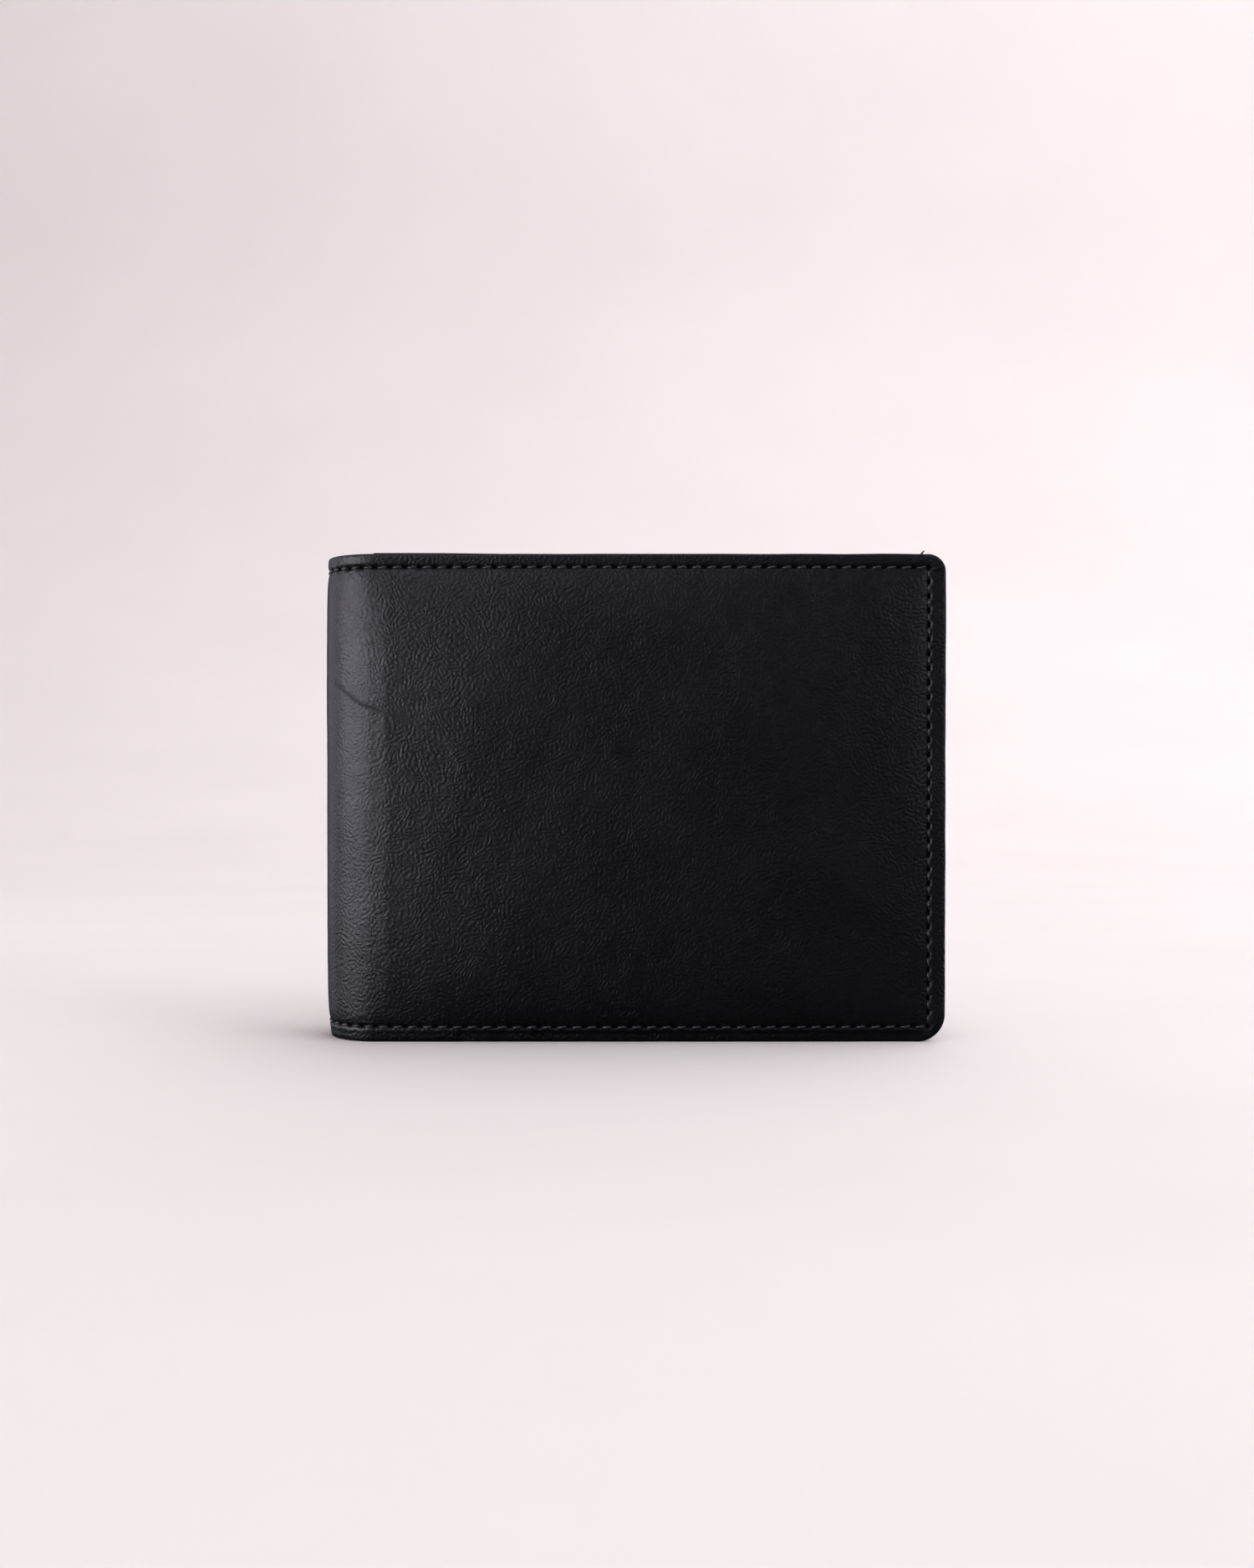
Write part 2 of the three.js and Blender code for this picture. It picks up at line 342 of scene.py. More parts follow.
def close_cuts(piece, normals):
    """Caps the open ends of a cut layer, and keeps the whole layer's normals along the cuts."""
    mesh = piece.data
    sides = len(mesh.polygons)
    work = bmesh.new()
    work.from_mesh(mesh)
    open_edges = [e for e in work.edges if e.is_boundary]
    caps = bmesh.ops.edgenet_fill(work, edges=open_edges)["faces"]
    caps = bmesh.ops.triangulate(work, faces=caps, quad_method="BEAUTY", ngon_method="EAR_CLIP")["faces"]
    for face in caps:
        face.smooth = False
    bmesh.ops.recalc_face_normals(work, faces=work.faces[:])
    work.to_mesh(mesh)
    work.free()
    loops = []
    for polygon in mesh.polygons:
        if polygon.index < sides:
            loops += [tuple(normals[v]) for v in polygon.vertices]
        else:
            loops += [tuple(polygon.normal)] * len(polygon.vertices)
    mesh.normals_split_custom_set(loops)


# ---- Outlines ----
def rounded(u, z, inset):
    """Moves points of the rectangle inset from the cover's outline so that its free corners are round."""
    side, au = np.sign(u), np.abs(u)
    out_u, out_z = au.copy(), z.copy()
    for radius, corner_z, up in ((TOP_CORNER_R, HEIGHT - inset, 1), (BOTTOM_CORNER_R, inset, -1)):
        r = max(radius - inset, 0.4)
        a = (au - (U_END - inset - r)) / r
        b = up * (z - corner_z) / r + 1
        inside = (a > 0) & (b > 0)
        a1, b1 = np.clip(a, 0, 1), np.clip(b, 0, 1)
        round_a, round_b = a1 * np.sqrt(1 - b1**2 / 2), b1 * np.sqrt(1 - a1**2 / 2)
        out_u = np.where(inside, U_END - inset - r + r * round_a, out_u)
        out_z = np.where(inside, corner_z + up * r * (round_b - 1), out_z)
    return side * out_u, out_z


def loop_of(grid):
    """The numbers round the rim of a grid, in order: along the bottom, up, back along the top, and down."""
    return np.concatenate([grid[:-1, 0], grid[-1, :-1], grid[:0:-1, -1], grid[0, :0:-1]])


def outward(u, z, inset):
    """Unit normals, in the flat leather, of the cover's outline at loop points inset from it."""
    side, au = np.sign(u), np.abs(u)
    nu, nz = np.zeros_like(u), np.zeros_like(z)
    for radius, corner_z, up in ((TOP_CORNER_R, HEIGHT, 1), (BOTTOM_CORNER_R, 0, -1)):
        centre_u, centre_z = U_END - radius, corner_z - up * radius
        corner = (au > centre_u - 1e-6) & (up * (z - centre_z) > -1e-6)
        du, dz = au - centre_u, z - centre_z
        length = np.maximum(np.hypot(du, dz), 1e-9)
        nu = np.where(corner, side * du / length, nu)
        nz = np.where(corner, dz / length, nz)
    flat = (nu == 0) & (nz == 0)
    free = flat & (np.abs(au - (U_END - inset)) < 1e-3)
    nu = np.where(free, side, nu)
    level = flat & ~free
    nz = np.where(level, np.sign(z - HEIGHT / 2), nz)
    return nu, nz


SLIT_STEPS = np.array([0.1, 0.2, 0.34])  # extra grid lines beside the seam, for the walls of the slits


def cover_lines():
    """The grid lines of the cover: a few to each stitch, and one at each bend."""
    along = np.linspace(-SEAM_U, SEAM_U, (len(HOLES_U) - 1) * CELLS_PER_STITCH + 1)
    for bend in BENDS:
        along[np.argmin(np.abs(along - bend))] = bend
    beyond = np.linspace(SEAM_U + SLIT_STEPS[-1], U_END - EDGE_ROUND, 4)[1:]
    right = np.concatenate([SEAM_U - SLIT_STEPS[:2], SEAM_U + SLIT_STEPS, beyond])
    along = np.sort(np.concatenate([-right, along, right]))
    up = np.linspace(SEAM_BOTTOM, SEAM_TOP, (len(HOLES_Z) - 1) * CELLS_PER_STITCH + 1)
    low = np.linspace(EDGE_ROUND, SEAM_BOTTOM - SLIT_STEPS[-1], 3)
    high = np.linspace(SEAM_TOP + SLIT_STEPS[-1], HEIGHT - EDGE_ROUND, 3)
    beside = [line + sign * SLIT_STEPS[:2] for line in (SEAM_BOTTOM, SEAM_TOP) for sign in (-1, 1)]
    return along, np.sort(np.concatenate([low, up, high, *beside]))


def make_cover(material):
    """The cover: one skin of leather round the fold, its edges rolled over and turned in behind it."""
    body = Body()
    edge = COVER_THICK / 2
    along, up = cover_lines()
    u, z = rounded(*np.meshgrid(along, up, indexing="ij"), EDGE_ROUND)
    relief = cover_relief(u, z)
    # The marks carry painted shade into the colour: near-black in the needle slits, darker along the crease.
    outer = body.add(u, z, -relief, np.maximum(hole_mark(u, z), crease_shade_mark(u, z)))
    body.quads(outer)
    rim_u, rim_z = loop_of(u), loop_of(z)
    rim_relief = loop_of(relief)
    nu, nz = outward(rim_u, rim_z, EDGE_ROUND)
    previous = loop_of(outer)
    near_top, near_bottom = smooth(0.5, 1, rim_z / HEIGHT), smooth(0.5, 1, 1 - rim_z / HEIGHT)
    square = SIDE_SQUARE + (TOP_SQUARE - SIDE_SQUARE) * near_top + (BOTTOM_SQUARE - SIDE_SQUARE) * near_bottom
    for step in range(1, RIM_STEPS + 1):
        angle = math.pi * step / RIM_STEPS
        in_front = angle < math.pi / 2
        sine, cosine = math.sin(angle), math.cos(angle)
        if in_front:
            reach, level = EDGE_ROUND * sine ** (2 / square), cosine ** (2 / square)
        else:
            reach, level = EDGE_ROUND - edge * (1 - sine), cosine
        lift = edge + (rim_relief if in_front else 0)
        wobble = 0.04 * waves(rim_u, rim_z, 9, 6, 11) * sine
        ring = body.add(rim_u + nu * (reach + wobble), rim_z + nz * (reach + wobble), edge - lift * level)
        body.band(previous, ring)
        previous = ring
    # The turned-in hem, then a step up to the back of the skin.
    flat_u, flat_z = np.meshgrid(along, up, indexing="ij")
    hem = [(SEAM_IN_FREE, COVER_THICK), (HEM - 0.5, COVER_THICK), (HEM, SKIN + 0.25), (HEM_END, SKIN)]
    for inset, depth in hem:
        ring_u, ring_z = inset_loop(loop_of(flat_u), loop_of(flat_z), EDGE_ROUND, inset)
        ring = body.add(ring_u, ring_z, depth)
        body.band(previous, ring)
        previous = ring
    back_of_skin(body, along, up, previous, EDGE_ROUND, HEM_END)
    split_at_bends("cover", body, material)


def inset_loop(u, z, start, inset):
    """Loop points of the rectangle at start moved to the one at inset, without piling up in the corners."""
    zone = 12.0  # nearer a side than this, the points move with it
    far_u, far_z = U_END - start, np.where(z > HEIGHT / 2, HEIGHT - start, start)
    near_u = np.clip(1 - (far_u - np.abs(u)) / zone, 0, 1)
    near_z = np.clip(1 - np.abs(far_z - z) / zone, 0, 1)
    new_u = np.sign(u) * (np.abs(u) - (inset - start) * near_u)
    new_z = z - np.sign(z - HEIGHT / 2) * (inset - start) * near_z
    return rounded(new_u, new_z, inset)


def back_of_skin(body, along, up, rim, start, inset):
    """The back of the skin behind the stiffener: a coarse grid joined to the fine rim by larger faces."""
    every = 8  # grid lines of the rim to one of the back
    at_bends = {int(np.argmin(abs(along - bend))) for bend in BENDS}
    keep_u = sorted({*range(0, len(along), every), len(along) - 1} | at_bends)
    keep_z = sorted({*range(0, len(up), every), len(up) - 1})
    flat_u, flat_z = np.meshgrid(along, up, indexing="ij")
    numbers = np.full(flat_u.shape, -1)
    loop_index = loop_of(np.arange(flat_u.size).reshape(flat_u.shape))
    numbers.ravel()[loop_index] = rim
    fixed = HALF_ARC + 20  # nearer the fold than this, the lines stay where they are
    drawn_in = fixed + (np.abs(flat_u) - fixed) * (U_END - inset - fixed) / (U_END - start - fixed)
    place_u = np.where(np.abs(flat_u) > fixed, np.sign(flat_u) * drawn_in, flat_u)
    place_z = HEIGHT / 2 + (flat_z - HEIGHT / 2) * (HEIGHT - 2 * inset) / (HEIGHT - 2 * start)
    inner = [(i, j) for i in keep_u[1:-1] for j in keep_z[1:-1]]
    for i, j in inner:
        numbers[i, j] = body.add(place_u[i, j], place_z[i, j], SKIN)
    for i0, i1 in zip(keep_u, keep_u[1:]):
        for j0, j1 in zip(keep_z, keep_z[1:]):
            ring = []
            ring += [numbers[i, j0] for i in range(i0, i1)] if j0 == 0 else [numbers[i0, j0]]
            ring += [numbers[i1, j] for j in range(j0, j1)] if i1 == len(along) - 1 else [numbers[i1, j0]]
            ring += [numbers[i, j1] for i in range(i1, i0, -1)] if j1 == len(up) - 1 else [numbers[i1, j1]]
            ring += [numbers[i0, j] for j in range(j1, j0, -1)] if i0 == 0 else [numbers[i0, j1]]
            body.faces.append([int(v) for v in reversed(ring)])


# ---- Inner layers ----
LINING_INSET = box_mm("rear_cover_lining")[0][2]
WALL_TOP = box_mm("rear_inner_lining")[1][2]
POCKET_U = HALF_ARC + box_mm("rear_slip_panel")[0][0] - FOLD_X  # spine-side edge of the pocket block
LAYER_U = U_END - LINING_INSET
FACING_BAND = 20.0  # leather band along the top of the inner wall
FACING_TUCK_U = HALF_ARC + 8.0  # the centre leather runs in under the pockets as far as this
SLOTS = 4
SLOT_BAND = 14.0  # thick part of a card slot, above its thin tail
TAIL, TAIL_STEP = 0.3, 0.8  # the tail's thickness, and the height over which the band thins to it
SLOT_CREASE = 2.2  # from the band's top edge to the line pressed along it
RUCK_HIGH = 1.55  # how far the cover lining rides up beside the fold of the front half
WALL_RIPPLE = 0.4  # height of the folds in the inner wall where it is slack
COARSE, FINE = 1.6, 1.2  # grid steps of the inner layers


def layer(lines_u, lines_z, outer_depth, inner_depth, mask=None, rings=1, lift=None):
    """A closed layer over a grid of lines, with a rounded rim. Each depth is a function of u and z."""
    body = Body()
    flat_u, flat_z = np.meshgrid(lines_u, lines_z, indexing="ij")
    if mask is None:
        mask = np.ones((len(lines_u) - 1, len(lines_z) - 1), bool)
    used = np.zeros(flat_u.shape, bool)
    for part in (used[:-1, :-1], used[1:, :-1], used[:-1, 1:], used[1:, 1:]):
        part |= mask
    u, z = rounded(flat_u, flat_z, LINING_INSET)
    outer_d, inner_d = outer_depth(u, z), inner_depth(u, z)
    if lift:
        z = z + lift(u, z)
    rim = rim_edges(mask)
    normal_u, normal_z = rim_normals(rim, u, z)
    swell = np.minimum(inner_d - outer_d, 1.0) / 2  # the rim's round reaches this far out of the flat faces
    on_rim = (normal_u != 0) | (normal_z != 0)
    face_u, face_z = u - normal_u * swell * on_rim, z - normal_z * swell * on_rim
    numbers = []
    for depth in (outer_d, inner_d):
        grid = np.full(u.shape, -1)
        grid[used] = body.add(face_u[used], face_z[used], depth[used])
        numbers.append(grid)
    body.quads(numbers[0], mask)
    body.quads(numbers[1], mask, flip=True)
    rim_grids = [numbers[0]]
    for step in range(1, rings + 1):
        angle = math.pi * step / (rings + 1)
        grid = np.full(u.shape, -1)
        reach = swell * math.sin(angle)
        depth = (outer_d + inner_d) / 2 - (inner_d - outer_d) / 2 * math.cos(angle)
        grid[on_rim] = body.add((face_u + normal_u * reach)[on_rim], (face_z + normal_z * reach)[on_rim],
                                depth[on_rim])
        rim_grids.append(grid)
    rim_grids.append(numbers[1])
    for near, far in zip(rim_grids, rim_grids[1:]):
        for a, b in rim:
            body.faces.append([int(near[a]), int(far[a]), int(far[b]), int(near[b])])
    return body


def rim_edges(mask):
    """Pairs of grid places along the rim of the cells in mask, each with the layer on its left."""
    wide, high = mask.shape
    padded = np.zeros((wide + 2, high + 2), bool)
    padded[1:-1, 1:-1] = mask
    edges = []
    for i, j in zip(*np.nonzero(mask)):
        if not padded[i + 1, j]:
            edges.append(((i, j), (i + 1, j)))
        if not padded[i + 2, j + 1]:
            edges.append(((i + 1, j), (i + 1, j + 1)))
        if not padded[i + 1, j + 2]:
            edges.append(((i + 1, j + 1), (i, j + 1)))
        if not padded[i, j + 1]:
            edges.append(((i, j + 1), (i, j)))
    return edges


def rim_normals(edges, u, z):
    """Unit normals, in the flat leather, at the places on a rim, and 0 everywhere else."""
    normal_u, normal_z = np.zeros(u.shape), np.zeros(u.shape)
    for a, b in edges:
        du, dz = u[b] - u[a], z[b] - z[a]
        length = max(math.hypot(du, dz), 1e-9)
        for end in (a, b):
            normal_u[end] += dz / length
            normal_z[end] -= du / length
    length = np.maximum(np.hypot(normal_u, normal_z), 1e-9)
    return normal_u / length, normal_z / length


def lines(start, end, step, extra=()):
    """Grid lines about step apart, with extra lines at the places named."""
    stops_at = sorted({start, end, *[e for e in extra if start < e < end]})
    parts = [np.linspace(a, b, max(2, round((b - a) / step) + 1)) for a, b in zip(stops_at, stops_at[1:])]
    return np.unique(np.concatenate(parts).round(6))


def pressed(depth, ripple=0.0):
    """Depth function of an inner layer: sewn down at the edges, and rippled where it is slack at the fold."""
    def at(u, z):
        slack = np.clip(1 - (np.abs(u) / (HALF_ARC + 4)) ** 4, 0, 1) * smooth(3, 20, z)
        lie = 0.8 * waves(u, z, 60, 4, 21)
        folds = 0.55 * np.sin(u * 0.62 + 0.9 + lie) + 0.3 * np.sin(u * 1.13 - 0.4 - lie) * smooth(-12, 8, u)
        uneven = 0.03 * waves(u, z, 22, 6, 22) * (ripple > 0)
        return squeeze(u, z, depth) + ripple * slack * (0.5 + folds) + uneven
    return at


def across_fold(name, step, material, top, ripple=0.0, mask_of=None, extra_u=(), extra_z=(),
                lift=None):
    """One layer that crosses the fold, made whole and then cut at the bends."""
    outer_d, inner_d = depths(f"rear_{name}")
    lines_u = lines(-LAYER_U, LAYER_U, step, (*BENDS, -HALF_ARC, HALF_ARC, *extra_u))
    lines_z = lines(LINING_INSET, top, step, extra_z)
    mask = mask_of(lines_u, lines_z) if mask_of else None
    body = layer(lines_u, lines_z, pressed(outer_d, ripple), pressed(inner_d, ripple), mask, lift=lift)
    return split_at_bends(name, body, material)


def lining_ruck(u, z):
    """How far the cover lining rides up: most beside the fold, and not at all near the free edge."""
    along = smooth(HALF_ARC - 3.5, HALF_ARC, u) * (1 - smooth(HALF_ARC + 58, HALF_ARC + 76, u))
    high = RUCK_HIGH - 0.25 * smooth(HALF_ARC + 8, HALF_ARC + 34, u)
    return high * along * smooth(HEIGHT - 22, HEIGHT - 1, z)


def facing_mask(lines_u, lines_z):
    """A T: the band along the top, and the centre leather down over the fold."""
    middle_u, middle_z = (lines_u[1:] + lines_u[:-1]) / 2, (lines_z[1:] + lines_z[:-1]) / 2
    return (np.abs(middle_u)[:, None] < FACING_TUCK_U) | (middle_z[None, :] > WALL_TOP - FACING_BAND)


def half_layer(side, name, top, inner_of=None, bottom=LINING_INSET, extra_z=(), rings=3):
    """One layer of a half's pocket block."""
    sign = SIGNS[side]
    outer_d, inner_d = depths(f"rear_{name}")
    near_edges = [POCKET_U + k for k in (0.4, 0.8)] + [LAYER_U - k for k in (0.4, 0.9, 1.5)]
    lines_u = lines(*sorted((sign * POCKET_U, sign * LAYER_U)), FINE, [sign * u for u in near_edges])
    lines_z = lines(bottom, top, FINE, extra_z)
    return layer(lines_u, lines_z, pressed(outer_d), inner_of or pressed(inner_d), rings=rings)


def add_to_half(side, name, body, material, replaced=()):
    """A finished piece that rides with one half."""
    coords, marks = body.arrays()
    piece = mesh_piece(name, wrap(*coords.T), body.faces, coords, marks)
    piece.data.materials.append(material)
    if replaced:
        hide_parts(*replaced)
    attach(piece, f"{side}_half")
    return piece


def card_slot(side, slot, material):
    """A card slot: a leather band with a creased line under its folded top edge, and a thin tail below."""
    name = f"card_slot_{slot}"
    low, high = box_mm(f"rear_{name}")
    outer_d, inner_d = depths(f"rear_{name}")
    top, bottom = high[2], low[2]
    has_tail = slot < SLOTS
    band_low = top - SLOT_BAND

    def inner(u, z):
        depth = np.full(u.shape, inner_d)
        if has_tail:
            depth = inner_d - (inner_d - outer_d - TAIL) * (1 - smooth(band_low, band_low + TAIL_STEP, z))
        line = 0.1 * np.exp(-((z - (top - SLOT_CREASE)) / 0.28) ** 2)
        belly = 0.12 * np.sin(np.clip((np.abs(u) - POCKET_U) / (LAYER_U - POCKET_U), 0, 1) * math.pi)
        soft = 0.03 * waves(u, z, 26, 6, 30 + slot)
        return squeeze(u, z, depth) - line + (belly + soft) * smooth(0, 3, top - z) * (z > band_low)

    creases = [top - 0.3, top - 0.6, *(top - SLOT_CREASE + 0.2 * k for k in range(-3, 4))]
    if has_tail:
        creases += [band_low, band_low + TAIL_STEP / 2, band_low + TAIL_STEP]
    body = half_layer(side, name, top, inner_of=inner, bottom=bottom, extra_z=creases)
    add_to_half(side, f"{side}_{name}_leather", body, material, [f"{side}_{name}"])


# ---- Thread ----
def inner_face(u, z):
    """Depth of the face that shows from inside at a seam: the lining, the facing or the pocket on them."""
    depth = np.where(z > WALL_TOP, depths("rear_cover_lining")[1], depths("rear_inner_facing")[1])
    in_block = np.abs(u) > POCKET_U
    slip_top = box_mm("rear_slip_panel")[1][2]
    depth = np.where(in_block & (z < slip_top), depths("rear_slip_panel")[1], depth)
    for slot in range(1, SLOTS + 1):
        top = box_mm(f"rear_card_slot_{slot}")[1][2]
        depth = np.where(in_block & (z < top), depths(f"rear_card_slot_{slot}")[1], depth)
    return squeeze(u, z, depth)


def seam_runs():
    """Each straight run of the seam: its holes, and the direction across it."""
    runs = [(HOLES_U, np.full(len(HOLES_U), line), 0.0, 1.0) for line in (SEAM_TOP, SEAM_BOTTOM)]
    for side in (-1, 1):
        runs.append((np.full(len(HOLES_Z), side * SEAM_U), HOLES_Z, 1.0, 0.0))
    return runs


THREAD_SIDES, THREAD_STEPS = 12, 10
THREAD_RISE, THREAD_SINK = 0.55, 0.42  # how far a stitch rises, from how deep in its slits
THREAD_FLAT = 0.8  # how thick the pressed thread is over its width
PLY_DEEP, PLY_TURNS = 0.16, 0.8  # depth of the twist's grooves, and its turns in a stitch
SLANT, SLANT_UNEVEN = 0.2, 0.1  # how far a stitch's ends are off the seam line, together


def stitch(body, start, end, across, surface, outward_sign, slant, radius=THREAD_R):
    """One stitch: it rises out of one slit, lies on the leather and dives into the next."""
    t = np.linspace(0.19, 0.81, THREAD_STEPS + 1)
    turn = np.linspace(0, 2 * math.pi, THREAD_SIDES, endpoint=False)
    rise = np.sin(math.pi * (t - 0.15) / 0.7) ** 0.6
    u = start[0] + (end[0] - start[0]) * t + across[0] * slant * (t - 0.5)
    z = start[1] + (end[1] - start[1]) * t + across[1] * slant * (t - 0.5)
    middle = ((start[0] + end[0]) / 2, (start[1] + end[1]) / 2)
    depth = surface(*middle) - outward_sign * (rise * THREAD_RISE - THREAD_SINK)
    ply = 1 + PLY_DEEP * np.cos(2 * (turn[None, :] - 2 * math.pi * PLY_TURNS * t[:, None]))
    size = radius * (0.66 + 0.34 * rise)[:, None] * ply
    lateral = size * np.cos(turn)[None, :]
    ring = body.add(u[:, None] + across[0] * lateral, z[:, None] + across[1] * lateral,
                    depth[:, None] - outward_sign * size * THREAD_FLAT * np.sin(turn)[None, :])
    flip = outward_sign * (across[1] - across[0]) * np.sign((end[0] - start[0]) + (end[1] - start[1])) < 0
    closed = np.concatenate([ring, ring[:, :1]], 1)
    body.quads(closed, flip=not flip)
    ends = [ring[0][::-1].tolist(), ring[-1].tolist()]
    body.faces += [end_ring[::-1] if flip else end_ring for end_ring in ends]


def seam_thread(prefix, surface, outward_sign, material):
    """All the stitches of the seam on one face, shared out into one piece for each part of the fold."""
    source = np.random.default_rng(5)
    parts = [Body() for _ in PLACES]
    for us, zs, across_u, across_z in seam_runs():
        for k in range(len(us) - 1):
            start, end = (us[k], zs[k]), (us[k + 1], zs[k + 1])
            part = parts[int(np.searchsorted(BENDS, (us[k] + us[k + 1]) / 2))]
            slant = (SLANT + source.uniform(-SLANT_UNEVEN, SLANT_UNEVEN)) * (1 if across_z else -1)
            stitch(part, start, end, (across_u, across_z), surface, outward_sign, slant)
    for k, (part, place) in enumerate(zip(parts, PLACES)):
        coords, marks = part.arrays()
        piece = mesh_piece(f"{prefix}_{place}", wrap(*coords.T), part.faces, coords, marks)
        piece.data.materials.append(material)
        blend_over_bend(piece, k)


def thread_tail(material):
    """The cut end of the seam thread, standing up over the top edge of the front half."""
    body = Body()
    t = np.linspace(0, 1, 9)
    turn = np.linspace(0, 2 * math.pi, THREAD_SIDES, endpoint=False)
    u, z = SEAM_U - 1.5 + 0.75 * t**2, HEIGHT - 1.1 + 1.95 * t - 0.2 * t**2
    depth = COVER_THICK + 0.1 - 0.55 * t
    size = THREAD_R * (1 - 0.25 * t**4)
    ring = body.add(u[:, None] + size[:, None] * np.cos(turn), z[:, None],
                    depth[:, None] - size[:, None] * np.sin(turn))
    body.quads(np.concatenate([ring, ring[:, :1]], 1))
    body.faces += [ring[0].tolist(), ring[-1][::-1].tolist()]
    add_to_half("front", "front_thread_tail", body, material)


def pocket_thread(side, material):
    """The stitches that close the card slots along the pocket block's spine-side edge."""
    body = Body()
    u = SIGNS[side] * (POCKET_U + 2.0)
    holes = stops(SEAM_BOTTOM + 0.5, box_mm("rear_card_slot_1")[1][2] - 1.0, STITCH_UP)
    for low, high in zip(holes, holes[1:]):
        stitch(body, (u, low), (u, high), (1.0, 0.0), inner_face, -1, SLANT, THREAD_R * 0.85)
    add_to_half(side, f"{side}_pocket_thread", body, material)


# ---- Materials ----
NOISE_RANGE = (0.3, 0.7)  # nearly all of a noise lies between these


class Nodes:
    """Short calls for building a node material."""

    def __init__(self, name):
        self.material = bpy.data.materials.new(name)
        self.material.use_nodes = True
        self.tree = self.material.node_tree
        self.tree.nodes.clear()
        self.shader = self.add("ShaderNodeBsdfPrincipled")
        output = self.add("ShaderNodeOutputMaterial")
        self.link(self.shader.outputs["BSDF"], output.inputs["Surface"])

    def add(self, kind, **settings):
        node = self.tree.nodes.new(kind)
        for key, value in settings.items():
            setattr(node, key, value)
        return node

    def link(self, source, target):
        self.tree.links.new(source, target)

    def put(self, socket, value):
        if isinstance(value, bpy.types.NodeSocket):
            self.link(value, socket)
        else:
            socket.default_value = value

    def attribute(self, name, output):
        return self.add("ShaderNodeAttribute", attribute_name=name).outputs[output]

    def math(self, operation, a, b=0.0):
        node = self.add("ShaderNodeMath", operation=operation)
        self.put(node.inputs[0], a)
        self.put(node.inputs[1], b)
        return node.outputs[0]

    def vector(self, operation, a, b):
        node = self.add("ShaderNodeVectorMath", operation=operation)
        self.put(node.inputs[0], a)
        self.put(node.inputs[1], b)
        return node.outputs[0]

    def noise(self, vector, scale, detail, output="Fac"):
        node = self.add("ShaderNodeTexNoise")
        self.link(vector, node.inputs["Vector"])
        node.inputs["Scale"].default_value = scale
        node.inputs["Detail"].default_value = detail
        return node.outputs[output]

    def voronoi(self, vector, scale):
        node = self.add("ShaderNodeTexVoronoi")
        self.link(vector, node.inputs["Vector"])
        node.inputs["Scale"].default_value = scale
        return node.outputs["Distance"]

    def ridges(self, vector, scale, frequency):
        """Waves from -1 to 1 of one even height, which flow and part like the ridges of a fingerprint."""
        node = self.add("ShaderNodeTexGabor", gabor_type="2D")
        self.link(vector, node.inputs["Vector"])
        node.inputs["Scale"].default_value = scale
        node.inputs["Frequency"].default_value = frequency
        node.inputs["Anisotropy"].default_value = 0.0
        return self.math("COSINE", self.math("MULTIPLY", node.outputs["Phase"], 2 * math.pi))

    def remap(self, value, low, high, new_low=0.0, new_high=1.0):
        node = self.add("ShaderNodeMapRange")
        self.put(node.inputs["Value"], value)
        for key, number in zip(("From Min", "From Max", "To Min", "To Max"), (low, high, new_low, new_high)):
            node.inputs[key].default_value = number
        return node.outputs[0]

    def spread(self, noise, low=0.0, high=1.0):
        """A noise stretched to run from low to high."""
        return self.remap(noise, *NOISE_RANGE, low, high)

    def mix(self, factor, a, b):
        node = self.add("ShaderNodeMix", data_type="RGBA")
        self.put(node.inputs["Factor"], factor)
        self.put(node.inputs["A"], a)
        self.put(node.inputs["B"], b)
        return node.outputs["Result"]

    def bump(self, height, distance):
        node = self.add("ShaderNodeBump")
        self.link(height, node.inputs["Height"])
        node.inputs["Distance"].default_value = distance
        node.inputs["Strength"].default_value = 1.0
        return node.outputs["Normal"]


GRAIN_CELL = 0.38  # how many patches of ridges of one direction there are to a ridge's width
RIDGE_HIGH = 0.10  # height of the ridges, as a share of the leather's relief
PALE_SPECKS = (0.03, 0.029, 0.028, 1)  # a few pale specks in the colour
SLIT_PAINTED_SHADE, SLIT_DULL = (0.0002, 0.0002, 0.0002, 1), 0.57  # painted shade: the near-black colour put in the slits, and how much rougher they are
